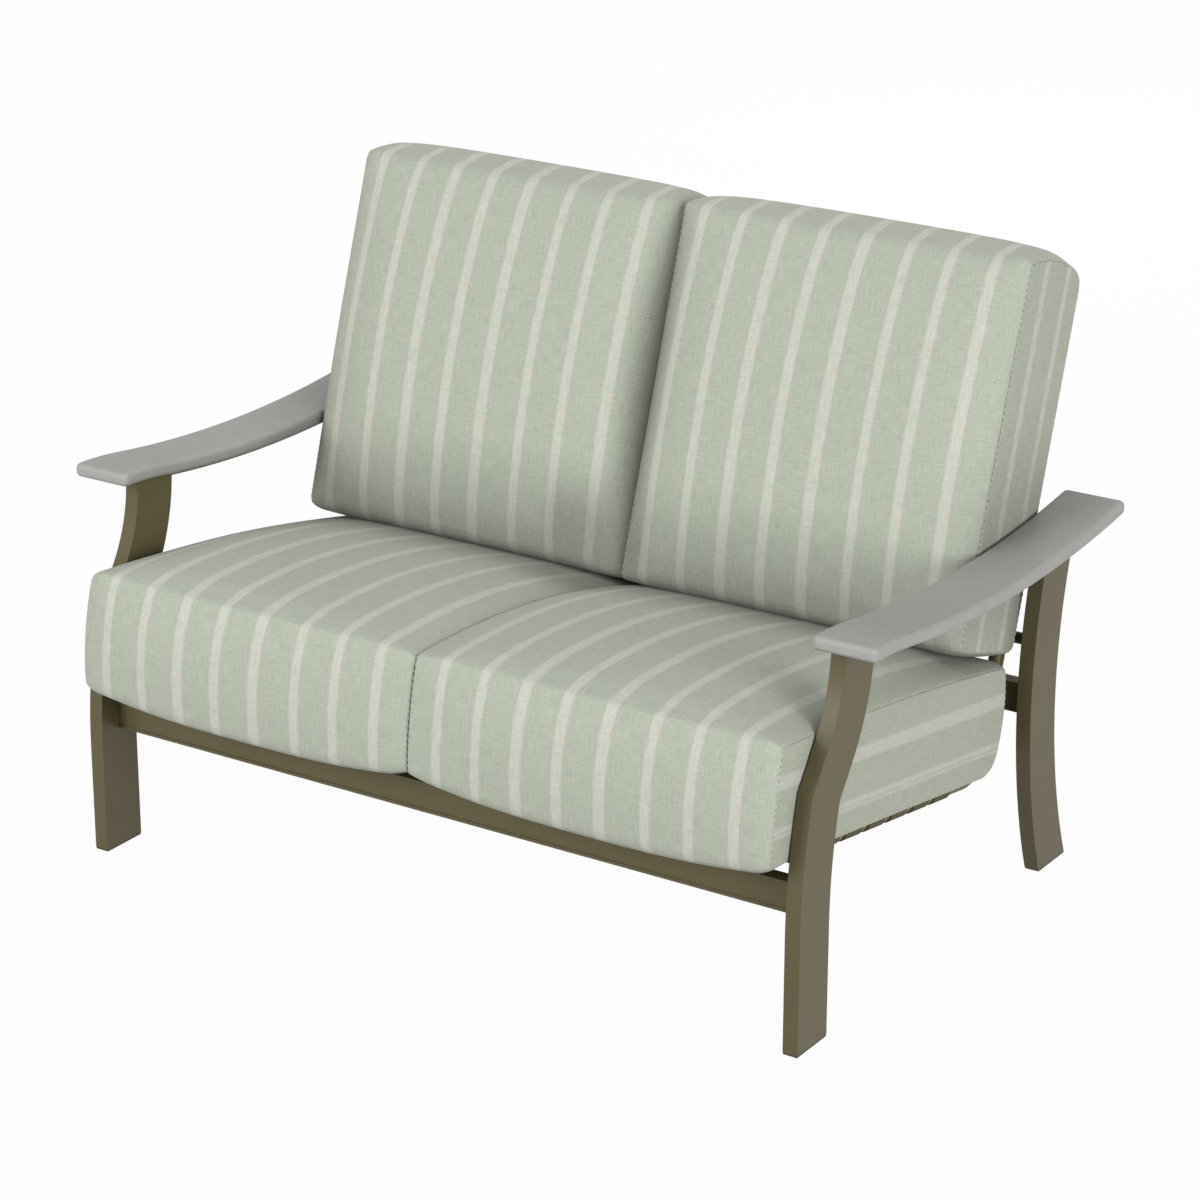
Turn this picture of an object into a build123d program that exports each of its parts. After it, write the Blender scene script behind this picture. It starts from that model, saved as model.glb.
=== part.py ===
from build123d import *
from math import asin, cos, radians, sin, sqrt, tan
import os

# A patio loveseat: an aluminium frame with polymer arms and four loose cushions.
# Millimetres. +X is to the right of someone who looks at its front, +Y is to its back
# and +Z is up. The origin is on the floor, under the middle of the whole object.
# Places along Y are first counted from the front foot, as "reach", and then moved by
# mid_depth, which puts the origin in the middle of the depth.

# Driving sizes of the frame
frame_width = 1322
tube_wide = 25
leg_depth = 84
leg_wall = 3
weld_gap = 0.3
overrun = 30

# Front leg: upright foot, a long bend back, a sharp corner, and a bend to upright again
front_leg_straight = 185
front_leg_lower_radius = 849
front_leg_corner_height = 405
front_leg_lean = 35.3
front_leg_slope_rise = 57
front_leg_upper_radius = 250

# Rear leg: one long arc whose foremost point is at vertex height
rear_leg_reach = 709.5
rear_leg_vertex_height = 303
rear_leg_front_radius = 880

# Foot glides
glide_base = 3
glide_plug = 18
glide_fit = 0.4
glide_inset = 0.5

# Rails between the legs, an extrusion with a shallow recess between two lips
rail_height = 50
rail_thick = 25
rail_wall = 2.5
rail_recess = 2
rail_lip = 5
front_rail_reach = 40.7
front_rail_bottom = 205
rear_rail_setback = 15.5
rear_rail_bottom = 283

# Seat and back frame: bent tubes that carry the cushions, on three cross tubes
bent_tube_diameter = 25
bent_tube_wall = 2
bent_tube_spread = 590
bent_tube_bend = 60
seat_slope = 9
recline = 17.9
deck_height = 236.5
deck_reach = 350
front_cross_reach = 75
back_cross_diameter = 19
back_cross_wall = 1.8
back_cross_height = 396
back_top_height = 850
end_cap_flange = 3
end_cap_plug = 15
end_cap_fit = 0.2

# Webbing straps: how far the first one's middle lies past a cross tube, and the last one's
# before the bent tubes' knee or before the top tube
strap_width = 50
strap_thick = 2
strap_gap = 0.3
seat_strap_count = 7
seat_strap_start = 41
seat_strap_end = 135.6
back_strap_count = 5
back_strap_start = 38.1
back_strap_end = 59.0

# Arm planks, the support bars under them and their screws
arm_width = 107
arm_inboard = 11
arm_thick = 22
arm_front_reach = 73.4
arm_rear_overhang = 158.5
arm_trough_share = 0.51576
arm_trough_top = 593
arm_long_radius = 2400
arm_hump_reach = 170
arm_corner_radius = 10
arm_edge_radius = 8
arm_bar_thick = 4
arm_bar_overhang = 12
arm_screw_count = 4
arm_screw_clear = 50
screw_head_diameter = 11
screw_head_height = 3
screw_head_round = 1.2
screw_socket_size = 4
screw_socket_sides = 6
screw_socket_depth = 1.5
screw_shank_diameter = 5
screw_depth = 18
screw_fit = 0.25

# Cushions
cushion_middle_gap = 1
cushion_rest_gap = 0.3
seat_cushion_side_gap = 1.5
seat_cushion_rear_gap = 53.25
seat_cushion_thick = 184
seat_cushion_crown = 38
seat_cushion_front_crown = 8
seat_cushion_rear_crown = 8
seat_cushion_reach = -46
seat_cushion_side_droop = 14
seat_cushion_middle_droop = 34
seat_cushion_droop_run = 112
seat_front_top_radius = 42
seat_front_bottom_radius = 30
seat_rear_top_radius = 30
seat_rear_bottom_radius = 45
back_cushion_side_gap = 3
back_cushion_length = 621
back_cushion_thick = 192
back_cushion_crown = 30
back_cushion_bottom_crown = 3
back_cushion_top_crown = 16
back_cushion_bottom_height = 380
back_bottom_front_radius = 28
back_bottom_rear_radius = 26
back_top_front_radius = 42
back_top_rear_radius = 42
cushion_cheek_draw = 9
least_bow = 0.5

# Places across a cushion's width, and the crown and cheek that it has at each
width_shares = (0, 0.014, 0.06, 0.16, 0.32, 0.5, 0.68, 0.84, 0.94, 0.986, 1)
crown_shares = (0, 0.06, 0.33, 0.66, 0.91, 1, 0.91, 0.66, 0.33, 0.06, 0)
cheek_shares = (1, 0.12, 0, 0, 0, 0, 0, 0, 0, 0.12, 1)

# Worked out from the driving sizes
leg_outer = frame_width / 2
leg_inner = leg_outer - tube_wide
arm_inner = leg_inner - arm_inboard
bent_radius = bent_tube_diameter / 2
back_cross_radius = back_cross_diameter / 2
slope = radians(seat_slope)
lean = radians(recline)
rear_rail_reach = rear_leg_reach + rear_rail_setback
arm_rear_reach = rear_leg_reach + arm_rear_overhang
arm_trough_reach = arm_hump_reach + arm_trough_share * (arm_rear_reach - arm_hump_reach)
seat_cushion_rear = rear_leg_reach - seat_cushion_rear_gap
seat_cushion_length = (seat_cushion_rear - seat_cushion_reach) / cos(slope)
sides = {"left": -1, "right": 1}


def back_axis_reach(height):
    """Reach of the bent tubes' axis behind the back cushions; they lean on the rear rail."""
    rail_top = rear_rail_bottom + rail_height
    axis_at_rail = rear_rail_reach - (bent_radius + weld_gap) / cos(lean)
    return axis_at_rail + (height - rail_top) * tan(lean)


def seat_axis_height(reach):
    """Height of the bent tubes' axis under the seat."""
    return deck_height - (reach - deck_reach) * tan(slope)


# Where a bent tube's seat and back lines would cross, its two ends and its cross tubes
knee_reach = back_axis_reach(seat_axis_height(0)) / (1 + tan(slope) * tan(lean))
knee_height = seat_axis_height(knee_reach)
front_cross_height = seat_axis_height(front_cross_reach)
back_top_reach = back_axis_reach(back_top_height)
back_cross_offset = (bent_radius + back_cross_radius + weld_gap) / cos(lean)
back_cross_reach = back_axis_reach(back_cross_height) + back_cross_offset
deck_rest = bent_radius + strap_gap + strap_thick + cushion_rest_gap

front_leg_top_reach = (
    front_leg_lower_radius
    - sqrt(front_leg_lower_radius**2 - (front_leg_corner_height - front_leg_straight) ** 2)
    + front_leg_slope_rise * tan(radians(front_leg_lean))
    + front_leg_upper_radius * (1 - cos(radians(front_leg_lean)))
)

# The depth runs from the seat cushions' front to the top cross tube
front_most = seat_cushion_reach
rear_most = back_top_reach + bent_radius
mid_depth = (front_most + rear_most) / 2


def side_plane(x):
    """Plane across X, whose sketch points are (reach, height)."""
    return Plane((x, -mid_depth, 0), x_dir=(0, 1, 0), z_dir=(1, 0, 0))


def seat_plane(x, reach, rise):
    """Plane across X on the seat's slope: its own X runs back and its own Y up."""
    height = seat_axis_height(reach) + rise / cos(slope)
    return Plane(
        (x, reach - mid_depth, height), x_dir=(0, cos(slope), -sin(slope)), z_dir=(1, 0, 0)
    )


def back_plane(x, height, rise):
    """Plane across X on the back's lean: its own X runs up and its own Y forward."""
    reach = back_axis_reach(height) - rise / cos(lean)
    return Plane(
        (x, reach - mid_depth, height), x_dir=(0, sin(lean), cos(lean)), z_dir=(1, 0, 0)
    )


def low_x(sign, inner, outer):
    """Lower X of a piece between two distances from the middle, on one side."""
    return inner if sign > 0 else -outer


def save(piece, label):
    piece.part.label = label
    export_step(piece.part, "parts/" + label + ".step")


os.makedirs("parts", exist_ok=True)


# The arm's side curve: a long hollow arc, and a hump over the front leg
def arm_arc_height(reach, below_top):
    radius = arm_long_radius + below_top
    centre_height = arm_trough_top + arm_long_radius
    return centre_height - sqrt(radius**2 - (reach - arm_trough_reach) ** 2)


# The legs' outlines run on to this height, and the arm's bar cuts them off
arm_over_leg = arm_arc_height(0, 0) + overrun


def arm_curve(below_top):
    """Edges of the arm's top, or of a line that lies below it, and their two ends."""
    hump = (arm_hump_reach, arm_arc_height(arm_hump_reach, below_top))
    trough = (arm_trough_reach, arm_arc_height(arm_trough_reach, below_top))
    rear = (arm_rear_reach, arm_arc_height(arm_rear_reach, below_top))
    ThreePointArc(hump, trough, rear)
    incline = (arm_trough_reach - arm_hump_reach) / arm_long_radius
    front = (arm_front_reach, hump[1] + incline * (arm_hump_reach - arm_front_reach) / 2)
    TangentArc(hump, front, tangent=(-1, incline))
    return front, rear


def arm_band(below_top, below_bottom):
    """Closed outline between two lines below the arm's top."""
    with BuildLine() as band:
        top_front, top_rear = arm_curve(below_top)
        bottom_front, bottom_rear = arm_curve(below_bottom)
        Line(top_front, bottom_front)
        Line(top_rear, bottom_rear)
    make_face(band.edges())


def cut_above_bar():
    """Take away what reaches above the underside of the arm's support bar."""
    ceiling = arm_over_leg + overrun
    with BuildLine() as above:
        front, rear = arm_curve(arm_thick + arm_bar_thick)
        far_front = (front[0] - leg_depth, front[1])
        far_rear = (rear[0] + leg_depth, rear[1])
        Polyline(front, far_front, (far_front[0], ceiling), (far_rear[0], ceiling), far_rear, rear)
    make_face(above.edges(), mode=Mode.SUBTRACT)


# Legs
def front_leg_edge(behind):
    """Draws the front leg's front line, or one behind it, and gives that line's two ends."""
    tilt = radians(front_leg_lean)
    up = Vector(sin(tilt), cos(tilt))
    back = Vector(cos(tilt), -sin(tilt)) * behind
    rise = front_leg_corner_height - front_leg_straight
    corner_reach = front_leg_lower_radius - sqrt(front_leg_lower_radius**2 - rise**2)
    corner = Vector(corner_reach, front_leg_corner_height) + back
    slope_end = corner + up * front_leg_slope_rise / cos(tilt)
    bend_end = (
        front_leg_top_reach + behind,
        front_leg_corner_height + front_leg_slope_rise + front_leg_upper_radius * sin(tilt),
    )

    # The sharp corner is where the lower bend's circle meets the slope
    radius = front_leg_lower_radius - behind
    start = corner - Vector(front_leg_lower_radius, front_leg_straight)
    before = start.dot(up) + sqrt(start.dot(up) ** 2 - start.dot(start) + radius**2)
    corner = corner - up * before
    low = (behind, -overrun)
    bend_start = (behind, front_leg_straight)
    high = (bend_end[0], arm_over_leg)
    Line(low, bend_start)
    RadiusArc(bend_start, corner, radius)
    Line(corner, slope_end)
    TangentArc(slope_end, bend_end, tangent=up)
    Line(bend_end, high)
    return low, high


def rear_leg_reach_at(radius, height):
    centre_reach = rear_leg_reach + rear_leg_front_radius
    return centre_reach - sqrt(radius**2 - (height - rear_leg_vertex_height) ** 2)


def rear_leg_edge(behind):
    """Draws the rear leg's front line, or one behind it, and gives that line's two ends."""
    radius = rear_leg_front_radius - behind
    heights = (-overrun, rear_leg_vertex_height, arm_over_leg)
    low, vertex, high = [(rear_leg_reach_at(radius, height), height) for height in heights]
    ThreePointArc(low, vertex, high)
    return low, high


def leg_outline(edge_at, inset):
    """A leg's side, or a line inside it, running past both of its ends."""
    with BuildLine() as outline:
        front_low, front_high = edge_at(inset)
        rear_low, rear_high = edge_at(leg_depth - inset)
        Line(front_low, rear_low)
        Line(front_high, rear_high)
    make_face(outline.edges())


def cut_outside(low, high):
    """Take away what lies below or above two heights."""
    reach = arm_rear_reach + overrun
    tall = arm_trough_top + overrun * 4
    with Locations((reach / 2, low)):
        Rectangle(reach * 2, tall, align=(Align.CENTER, Align.MAX), mode=Mode.SUBTRACT)
    with Locations((reach / 2, high)):
        Rectangle(reach * 2, tall, align=(Align.CENTER, Align.MIN), mode=Mode.SUBTRACT)


leg_edges = {"front": front_leg_edge, "rear": rear_leg_edge}

for place, edge_at in leg_edges.items():
    for side, sign in sides.items():
        leg_x = low_x(sign, leg_inner, leg_outer)
        with BuildPart() as leg:
            with BuildSketch(side_plane(leg_x)):
                leg_outline(edge_at, 0)
                cut_above_bar()
                cut_outside(glide_base, arm_over_leg)
            extrude(amount=tube_wide)
            with BuildSketch(side_plane(leg_x + leg_wall)):
                leg_outline(edge_at, leg_wall)
            extrude(amount=tube_wide - 2 * leg_wall, mode=Mode.SUBTRACT)
        save(leg, f"{place}_leg_{side}")

        # Each foot has a nylon glide: a plug inside the tube and a base under its wall
        plug_skin = leg_wall + glide_fit
        with BuildPart() as glide:
            with BuildSketch(side_plane(leg_x + glide_inset)):
                leg_outline(edge_at, glide_inset)
                cut_outside(0, glide_base)
            extrude(amount=tube_wide - 2 * glide_inset)
            with BuildSketch(side_plane(leg_x + plug_skin)):
                leg_outline(edge_at, plug_skin)
                cut_outside(glide_base, glide_base + glide_plug)
            extrude(amount=tube_wide - 2 * plug_skin)
        save(glide, f"glide_{place}_{side}")


# Rails: one extruded section, set between the legs' inner faces
def rail(label, reach, bottom):
    middle = (reach + rail_thick / 2, bottom + rail_height / 2)
    face_height = rail_height - 2 * rail_lip
    with BuildPart() as piece:
        with BuildSketch(side_plane(-leg_inner)):
            with Locations(middle):
                Rectangle(rail_thick, rail_height)
                with Locations((-rail_thick / 2, 0), (rail_thick / 2, 0)):
                    Rectangle(2 * rail_recess, face_height, mode=Mode.SUBTRACT)
                Rectangle(
                    rail_thick - 2 * rail_recess - 2 * rail_wall,
                    rail_height - 2 * rail_wall,
                    mode=Mode.SUBTRACT,
                )
        extrude(amount=2 * leg_inner)
    save(piece, label)


rail("front_rail", front_rail_reach, front_rail_bottom)
rail("rear_rail", rear_rail_reach, rear_rail_bottom)


# Cross tubes
def cross_tube(label, reach, height, radius, wall, half_length):
    with BuildPart() as piece:
        with BuildSketch(side_plane(-half_length)):
            with Locations((reach, height)):
                Circle(radius)
                Circle(radius - wall, mode=Mode.SUBTRACT)
        extrude(amount=2 * half_length)
    save(piece, label)


top_half_length = bent_tube_spread + bent_radius
cross_tube(
    "front_cross_tube",
    front_cross_reach,
    front_cross_height,
    bent_radius,
    bent_tube_wall,
    leg_inner,
)
cross_tube(
    "back_cross_tube",
    back_cross_reach,
    back_cross_height,
    back_cross_radius,
    back_cross_wall,
    leg_inner,
)
cross_tube(
    "back_top_tube",
    back_top_reach,
    back_top_height,
    bent_radius,
    bent_tube_wall,
    top_half_length,
)

# A plastic cap closes each end of the top tube
cap_plug_radius = bent_radius - bent_tube_wall - end_cap_fit
with BuildPart() as end_caps:
    for side, sign in sides.items():
        cap_x = sign * top_half_length
        with BuildSketch(side_plane(cap_x)):
            with Locations((back_top_reach, back_top_height)):
                Circle(bent_radius)
        extrude(amount=sign * end_cap_flange)
        with BuildSketch(side_plane(cap_x)):
            with Locations((back_top_reach, back_top_height)):
                Circle(cap_plug_radius)
        extrude(amount=-sign * end_cap_plug)
save(end_caps, "tube_end_caps")

# Bent tubes: from the front cross tube back under the seat, and up behind the back,
# with their ends coped to the round tubes that they meet
cross_ends = (
    (front_cross_reach, front_cross_height),
    (back_top_reach, back_top_height),
)
bent_tube_places = {"left": -bent_tube_spread, "middle": 0, "right": bent_tube_spread}
for place, x in bent_tube_places.items():
    with BuildPart() as bent_tube:
        with BuildLine(side_plane(x)) as route:
            FilletPolyline(
                cross_ends[0],
                (knee_reach, knee_height),
                cross_ends[1],
                radius=bent_tube_bend,
            )
        with BuildSketch(Plane(route.line @ 0, z_dir=route.line % 0)):
            Circle(bent_radius)
            Circle(bent_radius - bent_tube_wall, mode=Mode.SUBTRACT)
        sweep(path=route.line)
        with BuildSketch(side_plane(x)):
            with Locations(*cross_ends):
                Circle(bent_radius + weld_gap)
        extrude(amount=bent_tube_diameter, both=True, mode=Mode.SUBTRACT)
    save(bent_tube, f"seat_back_tube_{place}")


# Webbing straps: flat over the tubes, with their ends wrapped round the outer ones
def strap(label, plane):
    inner = bent_radius + strap_gap
    outer = inner + strap_thick
    with BuildPart() as piece:
        with BuildSketch(plane):
            with BuildLine():
                for x, turn in ((-bent_tube_spread, -1), (bent_tube_spread, 1)):
                    ThreePointArc((x, outer), (x + turn * outer, 0), (x, -outer))
                    ThreePointArc((x, inner), (x + turn * inner, 0), (x, -inner))
                    Line((x, -outer), (x, -inner))
                Line((-bent_tube_spread, outer), (bent_tube_spread, outer))
                Line((-bent_tube_spread, inner), (bent_tube_spread, inner))
            make_face()
        extrude(amount=strap_width / 2, both=True)
    save(piece, label)


seat_strap_last = (knee_reach - front_cross_reach) / cos(slope) - seat_strap_end
seat_strap_pitch = (seat_strap_last - seat_strap_start) / (seat_strap_count - 1)
for number in range(seat_strap_count):
    along = seat_strap_start + number * seat_strap_pitch
    reach = front_cross_reach + along * cos(slope)
    middle = (0, reach - mid_depth, seat_axis_height(reach))
    strap(
        f"seat_strap_{number + 1}",
        Plane(middle, x_dir=(1, 0, 0), z_dir=(0, -cos(slope), sin(slope))),
    )

back_strap_last = (back_top_height - back_cross_height) / cos(lean) - back_strap_end
back_strap_pitch = (back_strap_last - back_strap_start) / (back_strap_count - 1)
for number in range(back_strap_count):
    along = back_strap_start + number * back_strap_pitch
    height = back_cross_height + along * cos(lean)
    middle = (0, back_axis_reach(height) - mid_depth, height)
    strap(
        f"back_strap_{number + 1}",
        Plane(middle, x_dir=(1, 0, 0), z_dir=(0, sin(lean), cos(lean))),
    )

# Arms: a polymer plank on a flat bar that joins the tops of two legs, held by screws
arm_centre_height = arm_trough_top + arm_long_radius
bar_under_radius = arm_long_radius + arm_thick + arm_bar_thick
bar_front = front_leg_top_reach - arm_bar_overhang
bar_rear = rear_leg_reach_at(rear_leg_front_radius - leg_depth, arm_trough_top) + arm_bar_overhang
screw_first = front_leg_top_reach + leg_depth + arm_screw_clear
screw_last = rear_leg_reach_at(rear_leg_front_radius, arm_trough_top) - arm_screw_clear
screw_pitch = (screw_last - screw_first) / (arm_screw_count - 1)


def screw_planes(x):
    """Planes on the bar's underside, facing up, one for each screw."""
    planes = []
    for number in range(arm_screw_count):
        tilt = asin((screw_first + number * screw_pitch - arm_trough_reach) / bar_under_radius)
        reach = arm_trough_reach + bar_under_radius * sin(tilt)
        height = arm_centre_height - bar_under_radius * cos(tilt)
        planes.append(
            Plane(
                (x, reach - mid_depth, height),
                x_dir=(1, 0, 0),
                z_dir=(0, -sin(tilt), cos(tilt)),
            )
        )
    return planes


for side, sign in sides.items():
    screw_x = sign * (leg_inner + tube_wide / 2)
    shank_hole = screw_shank_diameter / 2 + screw_fit

    with BuildPart() as arm:
        with BuildSketch(side_plane(low_x(sign, arm_inner, arm_inner + arm_width))):
            arm_band(0, arm_thick)
        extrude(amount=arm_width)
        fillet(arm.edges().filter_by(Axis.Z), arm_corner_radius)
        covers = arm.faces().filter_by(lambda face: abs(face.normal_at().Z) > sin(lean))
        joints = covers.edges().filter_by(Axis.X).filter_by_position(
            Axis.Y, arm_front_reach + overrun - mid_depth, arm_rear_reach - overrun - mid_depth
        )
        fillet(covers.edges() - joints, arm_edge_radius)
        for plane in screw_planes(screw_x):
            with BuildSketch(plane):
                Circle(shank_hole)
            extrude(amount=screw_depth + screw_fit, mode=Mode.SUBTRACT)
    save(arm, f"arm_{side}")

    with BuildPart() as arm_bar:
        with BuildSketch(side_plane(low_x(sign, leg_inner, leg_outer))):
            arm_band(arm_thick, arm_thick + arm_bar_thick)
            bar_middle = ((bar_front + bar_rear) / 2, arm_trough_top)
            with Locations(bar_middle):
                Rectangle(bar_rear - bar_front, overrun * 4, mode=Mode.INTERSECT)
        extrude(amount=tube_wide)
        for plane in screw_planes(screw_x):
            with BuildSketch(plane):
                Circle(shank_hole)
            extrude(amount=arm_bar_thick * 2, both=True, mode=Mode.SUBTRACT)
    save(arm_bar, f"arm_bar_{side}")

    with BuildPart() as arm_screws:
        for plane in screw_planes(screw_x):
            with BuildSketch(plane):
                Circle(screw_head_diameter / 2)
            extrude(amount=-screw_head_height)
            fillet(arm_screws.edges(Select.LAST).sort_by(Axis.Z)[0], screw_head_round)
            with BuildSketch(plane):
                Circle(screw_shank_diameter / 2)
            extrude(amount=screw_depth)
            with BuildSketch(plane.offset(-screw_head_height)):
                RegularPolygon(screw_socket_size / 2, screw_socket_sides, major_radius=False)
            extrude(amount=screw_socket_depth, mode=Mode.SUBTRACT)
    save(arm_screws, f"arm_screws_{side}")


# Cushions
def bow(start, end, height):
    """Arc from start to end that stands out to the left of the way between them."""
    run = Vector(*end) - Vector(*start)
    left = Vector(-run.Y, run.X).normalized()
    ThreePointArc(start, (Vector(*start) + Vector(*end)) / 2 + left * height, end)


def round_corner(start, end, corner):
    """Arc between two points beside a corner, as near to it as a quarter circle is."""
    near = 1 - sqrt(0.5)
    chord_middle = (Vector(*start) + Vector(*end)) / 2
    ThreePointArc(start, Vector(*corner) + (chord_middle - Vector(*corner)) * 2 * near, end)


def cushion_section(sizes, cheek, share):
    """Side outline of a cushion: a rounded box with its crown, drawn in by its cheek."""
    start, end = cheek, sizes["length"] - cheek
    low, high = cheek, sizes["thick"] - cheek
    side_droop, middle_droop = sizes["droops"]
    drop = side_droop + (middle_droop - side_droop) * share
    crown, start_crown, end_crown = (max(least_bow, full * share) for full in sizes["crowns"])
    r1, r2, r3, r4 = sizes["radii"]
    bottom_end = (end - r4, low)
    bottom_mid = (sizes["droop_run"], low)
    bottom_start = (start + r1, low - drop)
    front_low = (start, low - drop + r1)
    front_high = (start, high - r2)
    top_start = (start + r2, high)
    top_end = (end - r3, high)
    rear_high = (end, high - r3)
    rear_low = (end, low + r4)
    with BuildLine() as outline:
        Line(bottom_end, bottom_mid)
        Line(bottom_mid, bottom_start)
        round_corner(bottom_start, front_low, (start, low - drop))
        bow(front_low, front_high, start_crown)
        round_corner(front_high, top_start, (start, high))
        bow(top_start, top_end, crown)
        round_corner(top_end, rear_high, (end, high))
        bow(rear_high, rear_low, end_crown)
        round_corner(rear_low, bottom_end, (end, low))
    make_face(outline.edges())


def cushion(label, plane_at, x_from, x_to, sizes):
    with BuildPart() as piece:
        for width_share, crown_share, cheek_share in zip(width_shares, crown_shares, cheek_shares):
            with BuildSketch(plane_at(x_from + (x_to - x_from) * width_share)):
                cushion_section(sizes, cushion_cheek_draw * cheek_share, crown_share)
        loft(ruled=True)
    save(piece, label)


seat_sizes = {
    "length": seat_cushion_length,
    "thick": seat_cushion_thick,
    "crowns": (seat_cushion_crown, seat_cushion_front_crown, seat_cushion_rear_crown),
    "droops": (seat_cushion_side_droop, seat_cushion_middle_droop),
    "droop_run": seat_cushion_droop_run,
    "radii": (
        seat_front_bottom_radius,
        seat_front_top_radius,
        seat_rear_top_radius,
        seat_rear_bottom_radius,
    ),
}
back_sizes = {
    "length": back_cushion_length,
    "thick": back_cushion_thick,
    "crowns": (back_cushion_crown, back_cushion_bottom_crown, back_cushion_top_crown),
    "droops": (0, 0),
    "droop_run": back_cushion_length / 2,
    "radii": (
        back_bottom_rear_radius,
        back_bottom_front_radius,
        back_top_front_radius,
        back_top_rear_radius,
    ),
}


def seat_cushion_plane(x):
    return seat_plane(x, seat_cushion_reach, deck_rest)


def back_cushion_plane(x):
    return back_plane(x, back_cushion_bottom_height, deck_rest)


for side, sign in sides.items():
    inner = cushion_middle_gap / 2
    seat_outer = leg_inner - seat_cushion_side_gap
    seat_from = low_x(sign, inner, seat_outer)
    cushion(
        f"seat_cushion_{side}",
        seat_cushion_plane,
        seat_from,
        seat_from + seat_outer - inner,
        seat_sizes,
    )
    back_outer = arm_inner - back_cushion_side_gap
    back_from = low_x(sign, inner, back_outer)
    cushion(
        f"back_cushion_{side}",
        back_cushion_plane,
        back_from,
        back_from + back_outer - inner,
        back_sizes,
    )
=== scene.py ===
"""Dresses a patio loveseat: finishes for its frame, and filled, striped and stitched cushions."""

from collections import namedtuple
from math import cos, radians, sin

import bpy
import numpy as np
from bpy.props import BoolProperty, FloatProperty, FloatVectorProperty, IntProperty, PointerProperty
from mathutils import Matrix, Vector


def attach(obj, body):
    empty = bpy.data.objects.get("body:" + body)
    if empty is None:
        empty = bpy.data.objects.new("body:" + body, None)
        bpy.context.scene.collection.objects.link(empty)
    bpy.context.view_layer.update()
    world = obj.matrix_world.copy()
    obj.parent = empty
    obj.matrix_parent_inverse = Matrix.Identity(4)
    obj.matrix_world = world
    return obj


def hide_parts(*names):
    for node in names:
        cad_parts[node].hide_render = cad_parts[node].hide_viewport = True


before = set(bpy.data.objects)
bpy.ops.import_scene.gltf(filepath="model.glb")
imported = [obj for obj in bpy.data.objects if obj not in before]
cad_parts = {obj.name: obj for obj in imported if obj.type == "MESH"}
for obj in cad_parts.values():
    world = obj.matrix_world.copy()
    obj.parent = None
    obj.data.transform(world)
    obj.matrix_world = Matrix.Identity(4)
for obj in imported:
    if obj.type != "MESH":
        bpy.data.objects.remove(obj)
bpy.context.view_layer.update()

bl_info = {
    "name": "Patio loveseat",
    "version": (1, 0, 0),
    "blender": (4, 5, 0),
    "location": "View3D > Sidebar > Loveseat",
    "description": "Finishes a patio loveseat's frame and makes its cushions",
    "category": "Object",
}

MM = 0.001


def linear(hex_colour):
    """Linear red, green and blue of an sRGB hex colour."""
    parts = [int(hex_colour[i : i + 2], 16) / 255 for i in (1, 3, 5)]
    return tuple(c / 12.92 if c <= 0.04045 else ((c + 0.055) / 1.055) ** 2.4 for c in parts)


def new_object(name, data):
    """An object in the scene that holds a mesh, a lamp or a camera."""
    made = bpy.data.objects.new(name, data)
    bpy.context.scene.collection.objects.link(made)
    return made


def size(name, description, default):
    """A length in metres."""
    return FloatProperty(name=name, description=description, default=default, unit="LENGTH")


def angle(name, description, degrees):
    """An angle, given in degrees."""
    return FloatProperty(
        name=name, description=description, default=radians(degrees), subtype="ANGLE"
    )


def share(name, description, default):
    """A share between 0 and 1."""
    return FloatProperty(name=name, description=description, default=default, min=0, max=1)


def number(name, description, default, unit="NONE"):
    """A plain number, or one with a unit other than metres."""
    return FloatProperty(name=name, description=description, default=default, unit=unit)


def colour(name, description, hex_colour):
    """A colour, given as an sRGB hex value."""
    return FloatVectorProperty(
        name=name,
        description=description,
        default=linear(hex_colour),
        size=3,
        min=0,
        max=1,
        subtype="COLOR",
    )


# Settings


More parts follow.
